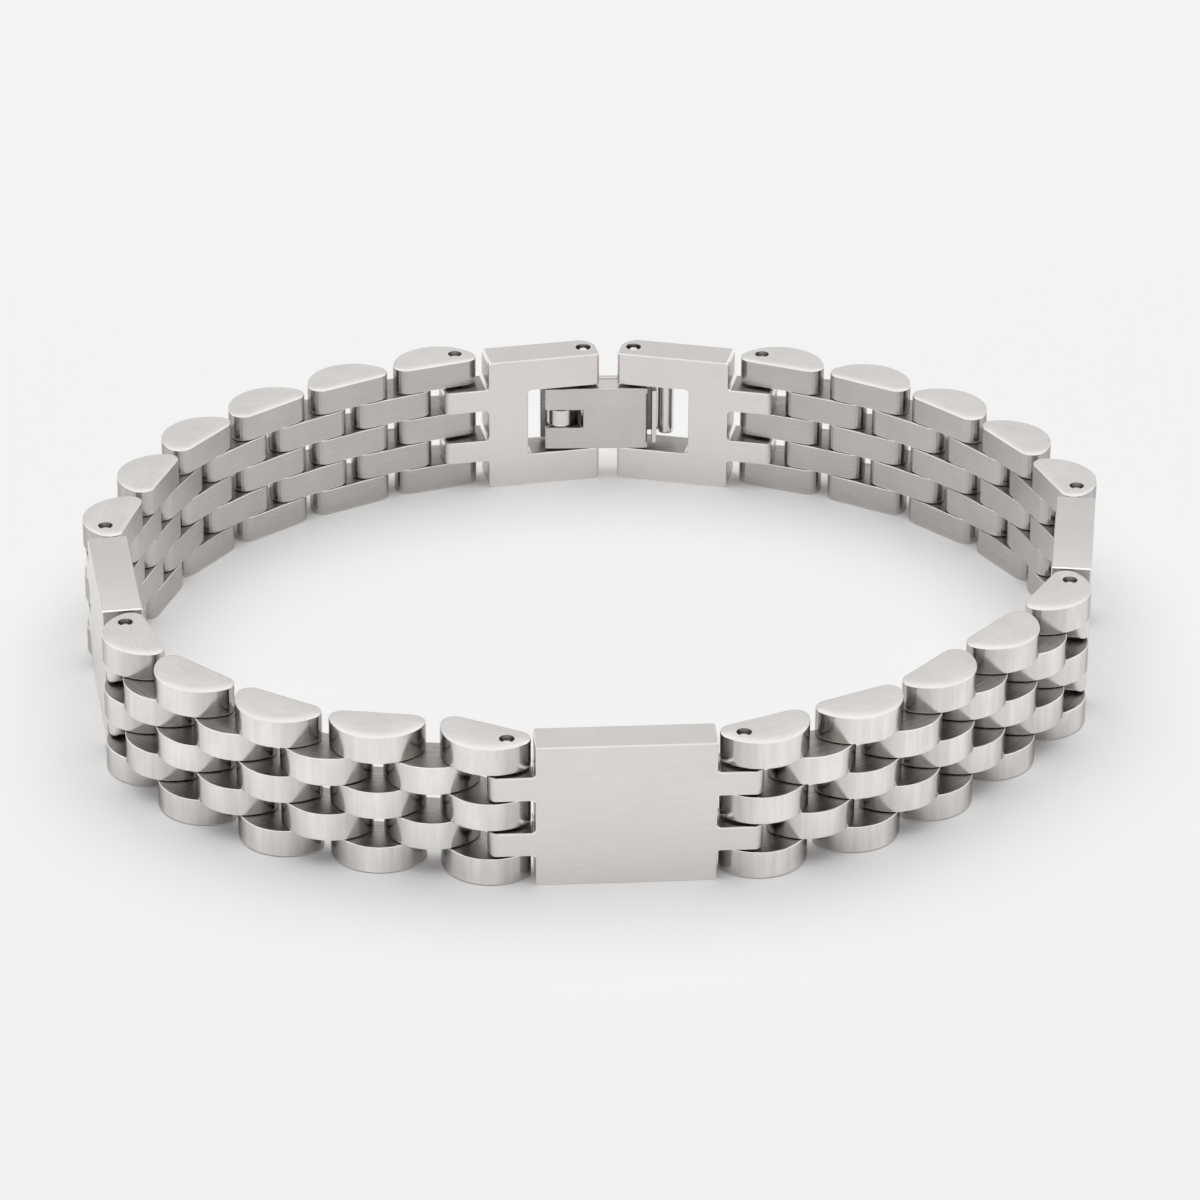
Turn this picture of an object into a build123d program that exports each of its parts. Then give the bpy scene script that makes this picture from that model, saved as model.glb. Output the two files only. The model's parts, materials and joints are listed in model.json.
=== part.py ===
from build123d import *
import os
from math import acos, atan2, cos, degrees, hypot, radians, sin, sqrt

# Link watch bracelet, closed by its clasp and standing on edge.
# Millimetres, Z up along the band's width, front plate towards -Y, wrist inside.
# Going round clockwise from above, every piece has x along the band and y outwards.

# Rows across the band
row_count = 5
piece_height = 1.96
row_gap = 0.05

# Half-round link pieces
link_arc_radius = 3.3
link_arc_rise = 0.15
link_corner_radius = 0.95
link_pin_inset = 1.4
link_gap = 0.68

# Hinge pins
pin_diameter = 1.0
pin_running_clearance = 0.03
pin_end_sink = 0.12

# Flat plates
plate_thickness = 2.7
plate_pin_depth = 1.4
plate_edge_chamfer = 0.15
front_plate_length = 11.61
side_plate_length = 10.87
shoulder_clearance = 0.14
tab_reach = 1.15
tab_outer_radius = 0.8
tab_side_gap = 0.17

# End plates, which hold the clasp in a window that is open at one end
end_plate_length = 8.25
end_plate_bar_inset = 1.4
end_plate_bar_margin = 0.95
end_plate_hinge_inset = 2.15
end_plate_hinge_reach = 2.08
end_tab_reach = 1.0
end_tab_inner_radius = 0.5
end_plate_outer_radius = 1.2
end_plate_inner_radius = 0.3
window_height = 5.1
window_depth = 5.33
window_corner_radius = 0.3

# Clasp bars
bar_diameter = 0.8
bar_running_clearance = 0.03
bar_play = 0.1
bar_spacing = 3.68
bar_recess_diameter = 1.1
bar_recess_depth = 0.3
bar_end_rise = 0.12

# Clasp leaf, a channel that turns on one bar and takes the other in open slots
leaf_side_clearance = 0.15
leaf_inner_depth = 1.7
leaf_sheet = 0.45
leaf_wall = 0.4
leaf_wall_rise = 0.06
leaf_tail = 2.8
leaf_end_margin = 0.99
leaf_end_radius = 1.4
leaf_lug_wall = 0.27
leaf_corner_radius = 0.35
leaf_notch_margin = 0.7

# Clasp cover, which swings on a pin in the leaf and shuts over both bars
cover_sheet = 0.5
cover_gap = 0.19
cover_tail_overhang = 0.33
cover_lip_gap = 0.33
cover_lip_thickness = 0.37
cover_lip_inset = 0.5
cover_lug_clearance = 0.12
cover_thumb_length = 1.3
cover_thumb_radius = 0.58
knuckle_radius = 0.95
knuckle_height = 1.3
knuckle_clearance = 0.05
knuckle_offset = 1.68
cover_pin_diameter = 0.6
cover_pin_sink = 0.04

# Degrees that the band turns at each hinge, clockwise from the front plate's left end
front_left_turns = (30, -20, 1, 11, 13, 5, 5, 11, 16)
left_plate_turn = 12
back_left_turns = (22, 4, 1, 5, 11, 9, 6, 6, 4, 5, 5)
left_end_plate_turn = 14
catch_bar_turn = 6
anchor_bar_turn = 9
back_right_turns = (14, 4, 5, 8, 7, 6, 7, 10, 1)
right_plate_turn = 27
front_right_turns = (22, 7, 4, 1, -1, 11, 11, 0, 2)
front_plate_turn = 23
front_plate_heading = 184
closing_rounds = 60

# One overrun for every cut
cut_over = 1.0

# Facets of the round shapes that repeat
link_arc_facets = 10
link_corner_facets = 3
tab_corner_facets = 3
pin_sides = 12
hidden_pin_sides = 6

# Worked out from the sizes above
pin_radius = pin_diameter / 2
bar_radius = bar_diameter / 2
row_pitch = piece_height + row_gap
band_width = row_count * piece_height + (row_count - 1) * row_gap
triple_rows = range(0, row_count, 2)
double_rows = range(1, row_count, 2)
corner_rise = link_corner_radius - link_arc_rise
corner_offset = sqrt((link_arc_radius - link_corner_radius) ** 2 - corner_rise**2)
link_width = 2 * (corner_offset + link_corner_radius)
pin_spacing = (link_width + link_gap) / 2
corner_lean = degrees(atan2(corner_rise, corner_offset))
corner_to_pin = hypot(corner_offset - pin_spacing / 2, link_pin_inset - link_corner_radius)
link_reach = corner_to_pin + link_corner_radius
shoulder = link_reach + shoulder_clearance
tab_height = piece_height - 2 * tab_side_gap
front_plate_span = front_plate_length + 2 * shoulder
side_plate_span = side_plate_length + 2 * shoulder
hinge_lift = end_plate_hinge_inset - end_plate_bar_inset
hinge_run = end_plate_length - end_plate_bar_margin + end_plate_hinge_reach
end_plate_span = hypot(hinge_run, hinge_lift)
end_plate_tilt = degrees(acos(hinge_run / end_plate_span))
window_base = (band_width - window_height) / 2
leaf_height = window_height - 2 * leaf_side_clearance
leaf_base = window_base + leaf_side_clearance
knuckle_drop = leaf_inner_depth - knuckle_radius
cover_under = leaf_wall_rise + cover_gap
cover_left = leaf_tail + cover_tail_overhang
lip_start = bar_spacing + leaf_end_margin + cover_lip_gap


def row_base(row):
    """Height of the underside of a row's pieces."""
    return row * row_pitch


def pin_chain(turns, spans):
    """Pin centres of the loop in plan, and the point where the last span ends."""
    heading = front_plate_heading
    x, y = 0, 0
    pins = []
    for turn, span in zip(turns, spans):
        heading -= turn
        pins.append((x, y))
        x += span * cos(radians(heading))
        y += span * sin(radians(heading))
    return pins, (x, y)


def closed_turns(turns, spans):
    """The turns with what they miss of a closed loop spread over all the hinges."""
    for _ in range(closing_rounds):
        pins, end = pin_chain(turns, spans)
        mean_x = sum(x for x, _ in pins) / len(pins)
        mean_y = sum(y for _, y in pins) / len(pins)
        across = degrees(end[0]) / sum((y - mean_y) ** 2 for _, y in pins)
        along = degrees(end[1]) / sum((x - mean_x) ** 2 for x, _ in pins)
        missing = (360 - sum(turns)) / len(turns)
        turns = [
            turn + missing + across * (y - mean_y) - along * (x - mean_x)
            for turn, (x, y) in zip(turns, pins)
        ]
    return turns


def loop_pins():
    """Pin centres clockwise from the front plate's left end."""
    turns = [
        *front_left_turns,
        left_plate_turn,
        *back_left_turns,
        left_end_plate_turn,
        catch_bar_turn,
        anchor_bar_turn,
        *back_right_turns,
        right_plate_turn,
        *front_right_turns,
        front_plate_turn,
    ]
    spans = [
        *[pin_spacing] * len(front_left_turns),
        side_plate_span,
        *[pin_spacing] * len(back_left_turns),
        end_plate_span,
        bar_spacing,
        end_plate_span,
        *[pin_spacing] * len(back_right_turns),
        side_plate_span,
        *[pin_spacing] * len(front_right_turns),
        front_plate_span,
    ]
    pins, _ = pin_chain(closed_turns(turns, spans), spans)
    return pins


def flat_plane(origin, direction):
    """A level plane at a plan point, with its x axis along a plan direction."""
    return Plane(origin=(*origin, 0), x_dir=(*direction, 0), z_dir=(0, 0, 1))


def span_plane(first, second):
    """A level plane midway between two pins, with x towards the second."""
    middle = ((first[0] + second[0]) / 2, (first[1] + second[1]) / 2)
    return flat_plane(middle, (second[0] - first[0], second[1] - first[1]))


def end_plane(bar, hinge, hand):
    """A level plane on a clasp bar, with x along the end plate's flat inner face."""
    run = (hand * (bar[0] - hinge[0]), hand * (bar[1] - hinge[1]))
    return flat_plane(bar, run).rotated((0, 0, hand * end_plate_tilt))


def arc_points(centre, radius, start, sweep, facets):
    """Points along an arc in degrees, both its ends included."""
    return [
        (
            centre[0] + radius * cos(radians(start + sweep * step / facets)),
            centre[1] + radius * sin(radians(start + sweep * step / facets)),
        )
        for step in range(facets + 1)
    ]


def link_outline(plane):
    """Half-round plan of a link piece, flat side inwards, its arcs in facets."""
    corner_y = link_corner_radius - link_pin_inset
    corner_sweep = 90 + corner_lean
    right = arc_points((corner_offset, corner_y), link_corner_radius, -90, corner_sweep, link_corner_facets)
    crown = arc_points(
        (0, link_arc_rise - link_pin_inset),
        link_arc_radius,
        corner_lean,
        180 - 2 * corner_lean,
        link_arc_facets,
    )
    left = [(-x, y) for x, y in reversed(right)]
    with BuildSketch(plane) as outline:
        with BuildLine():
            Polyline(*right, *crown[1:-1], *left, close=True)
        make_face()
    return outline.sketch


def hidden_pin_outline(plane, side):
    """Few-sided plan of a link's own pin, inside the pin's circle."""
    with BuildSketch(plane) as outline:
        with Locations((side * pin_spacing / 2, 0)):
            RegularPolygon(pin_radius, hidden_pin_sides)
    return outline.sketch


def hidden_bore_outline(plane, side):
    """Few-sided plan of the bore that turns on a link's own pin."""
    with BuildSketch(plane) as outline:
        with Locations((side * pin_spacing / 2, 0)):
            RegularPolygon(pin_radius + pin_running_clearance, hidden_pin_sides, major_radius=False)
    return outline.sketch


def plate_outline(plane, length):
    """Plan of a flat plate's body."""
    with BuildSketch(plane) as outline:
        with Locations((0, plate_pin_depth)):
            Rectangle(length, plate_thickness, align=(Align.CENTER, Align.MAX))
    return outline.sketch


def end_plate_outline(plane, hand):
    """Plan of an end plate's body, with the free end rounded."""
    with BuildSketch(plane) as outline:
        with Locations((hand * end_plate_bar_margin, -end_plate_bar_inset)):
            Rectangle(
                end_plate_length,
                plate_thickness,
                align=(Align.MAX if hand > 0 else Align.MIN, Align.MIN),
            )
        free_end = outline.vertices().group_by(Axis.X)[-1 if hand > 0 else 0]
        inner, outer = free_end.sort_by(Axis.Y)
        fillet(outer, end_plate_outer_radius)
        inner = outline.vertices().sort_by_distance(inner)[0]
        fillet(inner, end_plate_inner_radius)
    return outline.sketch


def centred(pins):
    """Moves the pins so that the bracelet's plan is centred on the origin."""
    boxes = [link_outline(span_plane(*pair)).bounding_box() for pair in zip(pins, pins[1:])]
    left_bar = end_plane(pins[catch_index], pins[catch_index - 1], 1)
    right_bar = end_plane(pins[catch_index + 1], pins[catch_index + 2], -1)
    boxes.append(end_plate_outline(left_bar, 1).bounding_box())
    boxes.append(end_plate_outline(right_bar, -1).bounding_box())
    middle_x = (min(box.min.X for box in boxes) + max(box.max.X for box in boxes)) / 2
    middle_y = (min(box.min.Y for box in boxes) + max(box.max.Y for box in boxes)) / 2
    return [(x - middle_x, y - middle_y) for x, y in pins]


# Places along the loop
left_plate_index = len(front_left_turns)
back_left_index = left_plate_index + 1
left_end_index = back_left_index + len(back_left_turns)
catch_index = left_end_index + 1
right_end_index = catch_index + 1
back_right_index = right_end_index + 1
right_plate_index = back_right_index + len(back_right_turns)
front_right_index = right_plate_index + 1
front_plate_index = front_right_index + len(front_right_turns)
pins = centred(loop_pins())
clasp_plane = flat_plane(
    pins[catch_index],
    (pins[right_end_index][0] - pins[catch_index][0], pins[right_end_index][1] - pins[catch_index][1]),
)


def save(builder, name):
    """Labels a piece and writes it under the same name."""
    builder.part.label = name
    export_step(builder.part, "parts/" + name + ".step")


def triple_link(name, plane, bored_sides):
    """Three pieces in the outer and middle rows, with the pins that carry the next links."""
    with BuildPart() as link:
        for row in triple_rows:
            extrude(link_outline(plane.offset(row_base(row))), amount=piece_height)
        for side in (-1, 1):
            if side in bored_sides:
                with BuildSketch(plane.offset(-cut_over)):
                    with Locations((side * pin_spacing / 2, 0)):
                        RegularPolygon(pin_radius, pin_sides)
                extrude(amount=band_width + 2 * cut_over, mode=Mode.SUBTRACT)
            else:
                for row in double_rows:
                    underside = plane.offset(row_base(row) - row_gap)
                    extrude(hidden_pin_outline(underside, side), amount=piece_height + 2 * row_gap)
    save(link, name)


def double_link(name, plane):
    """Two pieces in the rows between, bored to turn on the three-piece links' pins."""
    with BuildPart() as link:
        for row in double_rows:
            extrude(link_outline(plane.offset(row_base(row))), amount=piece_height)
            for side in (-1, 1):
                underside = plane.offset(row_base(row) - cut_over)
                extrude(
                    hidden_bore_outline(underside, side),
                    amount=piece_height + 2 * cut_over,
                    mode=Mode.SUBTRACT,
                )
    save(link, name)


def hinge_pin(name, plane, side):
    """Pin pressed into the end of a run, a little short of the band's width."""
    with BuildPart() as rod:
        with BuildSketch(plane.offset(pin_end_sink)):
            with Locations((side * pin_spacing / 2, 0)):
                RegularPolygon(pin_radius, pin_sides)
        extrude(amount=band_width - 2 * pin_end_sink)
    save(rod, name)


def link_run(name, first, count):
    """A run of links in turn, with three-piece links at both ends and their end pins."""
    for place in range(count):
        plane = span_plane(pins[first + place], pins[first + place + 1])
        number = str(place // 2 + 1)
        if place % 2:
            double_link(name + "_double_link_" + number, plane)
            continue
        bored_sides = [side for side, end in ((-1, 0), (1, count - 1)) if place == end]
        triple_link(name + "_triple_link_" + number, plane, bored_sides)
        for side in bored_sides:
            hinge_pin(name + ("_first_pin" if side < 0 else "_last_pin"), plane, side)


def tab_outline(plane, hand, span, length):
    """Plan of a plate's tab, level with the outer face and round below its pin."""
    root = length / 2 - plate_edge_chamfer
    inner = arc_points((span / 2, 0), tab_reach, -90, 90, tab_corner_facets)
    outer = arc_points(
        (span / 2 + tab_reach - tab_outer_radius, plate_pin_depth - tab_outer_radius),
        tab_outer_radius,
        0,
        90,
        tab_corner_facets,
    )
    points = [(root, -tab_reach), *inner, *outer, (root, plate_pin_depth)]
    with BuildSketch(plane) as outline:
        with BuildLine():
            Polyline(*[(hand * x, y) for x, y in points], close=True)
        make_face()
    return outline.sketch


def flat_plate(name, plane, length, span):
    """Flat plate with two tabs at each end, bored for the hinge pins."""
    with BuildPart() as plate:
        extrude(plate_outline(plane, length), amount=band_width)
        chamfer(plate.edges(), plate_edge_chamfer)
        for hand in (-1, 1):
            for row in double_rows:
                underside = plane.offset(row_base(row) + tab_side_gap)
                extrude(tab_outline(underside, hand, span, length), amount=tab_height)
            with BuildSketch(plane.offset(-cut_over)):
                with Locations((hand * span / 2, 0)):
                    RegularPolygon(pin_radius + pin_running_clearance, pin_sides, major_radius=False)
            extrude(amount=band_width + 2 * cut_over, mode=Mode.SUBTRACT)
    save(plate, name)


def end_tab_outline(plane, hand):
    """Plan of an end plate's tab, level with the inner face and round above its pin."""
    root = end_plate_length - end_plate_bar_margin - plate_edge_chamfer
    outer_y = plate_thickness - plate_edge_chamfer - end_plate_bar_inset
    inner = arc_points(
        (hinge_run + end_tab_reach - end_tab_inner_radius, end_tab_inner_radius - end_plate_bar_inset),
        end_tab_inner_radius,
        -90,
        90,
        tab_corner_facets,
    )
    outer = arc_points((hinge_run, hinge_lift), end_tab_reach, 0, 90, tab_corner_facets)
    points = [(root, -end_plate_bar_inset), *inner, *outer, (root, outer_y)]
    with BuildSketch(plane) as outline:
        with BuildLine():
            Polyline(*[(-hand * x, y) for x, y in points], close=True)
        make_face()
    return outline.sketch


def window_cut(plane, hand):
    """Face view of the window, open at the plate's free end."""
    closed_end = window_depth - end_plate_bar_margin
    face = Plane(origin=plane.origin, x_dir=plane.x_dir, z_dir=-plane.y_dir)
    with BuildSketch(face.offset(-plate_thickness)) as window:
        with Locations((-hand * closed_end, window_base)):
            Rectangle(
                window_depth + cut_over,
                window_height,
                align=(Align.MIN if hand > 0 else Align.MAX, Align.MIN),
            )
        corners = window.vertices().group_by(Axis.X)[0 if hand > 0 else -1]
        fillet(corners, window_corner_radius)
    return window.sketch


def end_plate(name, plane, hand):
    """C-shaped end plate with two hinge tabs and recessed holes for its clasp bar."""
    with BuildPart() as plate:
        extrude(end_plate_outline(plane, hand), amount=band_width)
        extrude(window_cut(plane, hand), amount=2 * plate_thickness, mode=Mode.SUBTRACT)
        for row in double_rows:
            underside = plane.offset(row_base(row) + tab_side_gap)
            extrude(end_tab_outline(underside, hand), amount=tab_height)
        with BuildSketch(plane.offset(-cut_over)):
            with Locations((-hand * hinge_run, hinge_lift)):
                RegularPolygon(pin_radius + pin_running_clearance, pin_sides, major_radius=False)
            RegularPolygon(bar_radius, pin_sides)
        extrude(amount=band_width + 2 * cut_over, mode=Mode.SUBTRACT)
        with BuildSketch(plane, plane.offset(band_width - bar_recess_depth)):
            RegularPolygon(bar_recess_diameter / 2, pin_sides)
        extrude(amount=bar_recess_depth, mode=Mode.SUBTRACT)
    save(plate, name)


def clasp_bar(name, plane):
    """Bar across an end plate's window, standing a little into its recesses."""
    base = bar_recess_depth - bar_end_rise
    with BuildPart() as bar:
        with BuildSketch(plane.offset(base)):
            RegularPolygon(bar_radius, pin_sides)
        extrude(amount=band_width - 2 * base)
    save(bar, name)


def leaf_side_outline(plane):
    """Plan of the leaf's channel: flat inner face, round tail and a lug on the anchor bar."""
    with BuildSketch(plane) as outline:
        with Locations((-leaf_tail, -leaf_inner_depth)):
            Rectangle(
                leaf_tail + bar_spacing + leaf_end_margin,
                leaf_inner_depth + leaf_wall_rise,
                align=(Align.MIN, Align.MIN),
            )
        outer = outline.vertices().group_by(Axis.Y)[-1]
        tail, tip = outer.sort_by(Axis.X)
        fillet(tail, leaf_end_radius)
        fillet(outline.vertices().sort_by_distance(tip)[0], leaf_corner_radius)
        with Locations((bar_spacing, 0)):
            RegularPolygon(bar_radius + bar_running_clearance + leaf_lug_wall, pin_sides)
    return outline.sketch


def clasp_leaf():
    """Channel with a sheet floor and two side walls, notched for the cover's knuckle."""
    plane = clasp_plane
    with BuildPart() as leaf:
        extrude(leaf_side_outline(plane.offset(leaf_base)), amount=leaf_height)
        with BuildSketch(plane.offset(leaf_base + leaf_wall)):
            with Locations((-leaf_tail - cut_over, leaf_sheet - leaf_inner_depth)):
                Rectangle(
                    leaf_tail + bar_spacing + leaf_end_margin + 2 * cut_over,
                    leaf_inner_depth + bar_radius + leaf_lug_wall + cut_over,
                    align=(Align.MIN, Align.MIN),
                )
        extrude(amount=leaf_height - 2 * leaf_wall, mode=Mode.SUBTRACT)
        notch_height = knuckle_height + 2 * knuckle_clearance
        with BuildSketch(plane.offset((band_width - notch_height) / 2)):
            with Locations((-leaf_tail - cut_over, -leaf_inner_depth - cut_over)):
                Rectangle(
                    leaf_tail + cut_over - knuckle_offset + knuckle_radius + leaf_notch_margin,
                    leaf_sheet + 2 * cut_over,
                    align=(Align.MIN, Align.MIN),
                )
        extrude(amount=notch_height, mode=Mode.SUBTRACT)
        with BuildSketch(plane.offset(leaf_base - cut_over)):
            with Locations((bar_spacing, 0)):
                RegularPolygon(bar_radius + bar_running_clearance, pin_sides, major_radius=False)
            with Locations((-knuckle_offset, -knuckle_drop)):
                RegularPolygon(cover_pin_diameter / 2, pin_sides)
            RegularPolygon(bar_radius + bar_play, pin_sides, major_radius=False)
            Rectangle(2 * (bar_radius + bar_play), bar_spacing, align=(Align.CENTER, Align.MIN))
        extrude(amount=leaf_height + 2 * cut_over, mode=Mode.SUBTRACT)
    save(leaf, "clasp_leaf")


def cover_strip(plane, start, end, height, under, over):
    """A level block of the cover, from start to end along the clasp."""
    with BuildSketch(plane.offset((band_width - height) / 2)) as strip:
        with Locations((start, under)):
            Rectangle(end - start, over - under, align=(Align.MIN, Align.MIN))
    return strip.sketch


def clasp_cover():
    """Sheet cover with a rolled knuckle, a lip over the leaf's end and a rolled thumb edge."""
    plane = clasp_plane
    top = cover_under + cover_sheet
    lug_reach = bar_radius + bar_running_clearance + leaf_lug_wall
    narrow_start = bar_spacing - lug_reach - cover_lug_clearance
    narrow_height = leaf_height - 2 * (leaf_wall + cover_lug_clearance)
    lip_end = lip_start + cover_lip_thickness
    thumb_middle = lip_end + cover_thumb_length - cover_thumb_radius
    with BuildPart() as cover:
        extrude(
            cover_strip(plane, -cover_left, narrow_start, leaf_height, cover_under, top),
            amount=leaf_height,
        )
        extrude(
            cover_strip(plane, narrow_start, thumb_middle, narrow_height, cover_under, top),
            amount=narrow_height,
        )
        extrude(
            cover_strip(plane, lip_start, lip_end, narrow_height, cover_lip_inset - leaf_inner_depth, top),
            amount=narrow_height,
        )
        with BuildSketch(plane.offset((band_width - narrow_height) / 2)):
            with Locations((thumb_middle, top - cover_thumb_radius)):
                RegularPolygon(cover_thumb_radius, pin_sides)
        extrude(amount=narrow_height)
        with BuildSketch(plane.offset((band_width - knuckle_height) / 2)):
            with Locations((-knuckle_offset, -knuckle_drop)):
                Circle(knuckle_radius)
            with Locations((-knuckle_offset, -knuckle_drop)):
                Rectangle(
                    knuckle_radius,
                    knuckle_drop + top,
                    align=(Align.MAX, Align.MIN),
                )
        extrude(amount=knuckle_height)
        with BuildSketch(plane.offset(leaf_base - cut_over)):
            with Locations((0, 0), (bar_spacing, 0)):
                RegularPolygon(bar_radius + bar_play, pin_sides, major_radius=False)
            with Locations((-knuckle_offset, -knuckle_drop)):
                RegularPolygon(
                    cover_pin_diameter / 2 + bar_running_clearance, pin_sides, major_radius=False
                )
        extrude(amount=leaf_height + 2 * cut_over, mode=Mode.SUBTRACT)
    save(cover, "clasp_cover")


def cover_pin():
    """Pin in the leaf's walls, on which the cover's knuckle turns."""
    base = leaf_base + cover_pin_sink
    with BuildPart() as pin:
        with BuildSketch(clasp_plane.offset(base)):
            with Locations((-knuckle_offset, -knuckle_drop)):
                RegularPolygon(cover_pin_diameter / 2, pin_sides)
        extrude(amount=leaf_height - 2 * cover_pin_sink)
    save(pin, "clasp_cover_pin")


os.makedirs("parts", exist_ok=True)

# Links
link_run("front_left", 0, len(front_left_turns))
link_run("back_left", back_left_index, len(back_left_turns))
link_run("back_right", back_right_index, len(back_right_turns))
link_run("front_right", front_right_index, len(front_right_turns))

# Plates
front_plane = span_plane(pins[front_plate_index], pins[0])
flat_plate("front_plate", front_plane, front_plate_length, front_plate_span)
left_plane = span_plane(pins[left_plate_index], pins[back_left_index])
flat_plate("left_plate", left_plane, side_plate_length, side_plate_span)
right_plane = span_plane(pins[right_plate_index], pins[front_right_index])
flat_plate("right_plate", right_plane, side_plate_length, side_plate_span)
left_end_plane = end_plane(pins[catch_index], pins[left_end_index], 1)
end_plate("left_end_plate", left_end_plane, 1)
right_end_plane = end_plane(pins[right_end_index], pins[back_right_index], -1)
end_plate("right_end_plate", right_end_plane, -1)

# Clasp
clasp_bar("clasp_catch_bar", left_end_plane)
clasp_bar("clasp_anchor_bar", right_end_plane)
clasp_leaf()
clasp_cover()
cover_pin()
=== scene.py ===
"""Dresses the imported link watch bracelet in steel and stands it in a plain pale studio."""

import json
import logging
import math
from collections.abc import Iterable
from dataclasses import dataclass
from enum import Enum

import bmesh
import bpy
from mathutils import Matrix, Vector

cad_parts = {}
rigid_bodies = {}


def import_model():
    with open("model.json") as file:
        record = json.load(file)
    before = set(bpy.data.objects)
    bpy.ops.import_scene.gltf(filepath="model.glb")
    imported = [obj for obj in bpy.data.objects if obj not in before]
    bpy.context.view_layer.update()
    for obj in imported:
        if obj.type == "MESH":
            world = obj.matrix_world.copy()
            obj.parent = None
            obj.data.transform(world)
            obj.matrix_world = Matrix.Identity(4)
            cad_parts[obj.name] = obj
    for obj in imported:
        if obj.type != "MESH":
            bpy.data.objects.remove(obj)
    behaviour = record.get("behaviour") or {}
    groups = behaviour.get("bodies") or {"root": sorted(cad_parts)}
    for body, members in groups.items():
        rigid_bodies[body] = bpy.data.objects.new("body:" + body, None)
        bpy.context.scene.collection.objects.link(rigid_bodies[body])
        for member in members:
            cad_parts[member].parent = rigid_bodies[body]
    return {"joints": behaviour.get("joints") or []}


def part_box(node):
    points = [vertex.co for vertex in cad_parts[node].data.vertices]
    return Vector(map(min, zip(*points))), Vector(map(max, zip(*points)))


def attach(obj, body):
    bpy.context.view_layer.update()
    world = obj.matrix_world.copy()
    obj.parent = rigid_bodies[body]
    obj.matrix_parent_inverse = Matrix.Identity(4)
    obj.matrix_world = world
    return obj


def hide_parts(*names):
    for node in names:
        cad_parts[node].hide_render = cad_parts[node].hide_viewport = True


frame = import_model()

MM = 0.001
BEYOND = 1.0
SHARP = math.radians(60)
RIM_STEPS = 2
ROUND_STEPS = 5
log = logging.getLogger("bracelet")

Triple = tuple[float, float, float]
Tree = bpy.types.NodeTree
Socket = bpy.types.NodeSocket


class Side(Enum):
    """Which way a face of a piece looks, in the piece's own plane."""

    INNER = 0
    OUTER = 1
    LEVEL = 2
    RIM = 3
    LEDGE = 4
    END = 5


def fill(tree: Tree, node: bpy.types.Node, inputs: dict) -> None:
    """Gives a node's inputs their constants, or links the sockets that feed them.

    Args:
        tree: The node tree.
        node: The node.
        inputs: Constants and sockets by the inputs' names or numbers.
    """
    for place, value in inputs.items():
        if isinstance(value, Socket):
            tree.links.new(value, node.inputs[place])
        else:
            node.inputs[place].default_value = value


def add(tree: Tree, kind: str, inputs: dict, **traits: str) -> bpy.types.bpy_prop_collection:
    """Adds a node.

    Args:
        tree: The node tree.
        kind: The node's type, without the words that all types share.
        inputs: Constants and sockets by the inputs' names or numbers.
        traits: The node's own settings.

    Returns:
        The node's outputs.
    """
    node = tree.nodes.new("ShaderNode" + kind)
    for name, value in traits.items():
        setattr(node, name, value)
    fill(tree, node, inputs)
    return node.outputs


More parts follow.
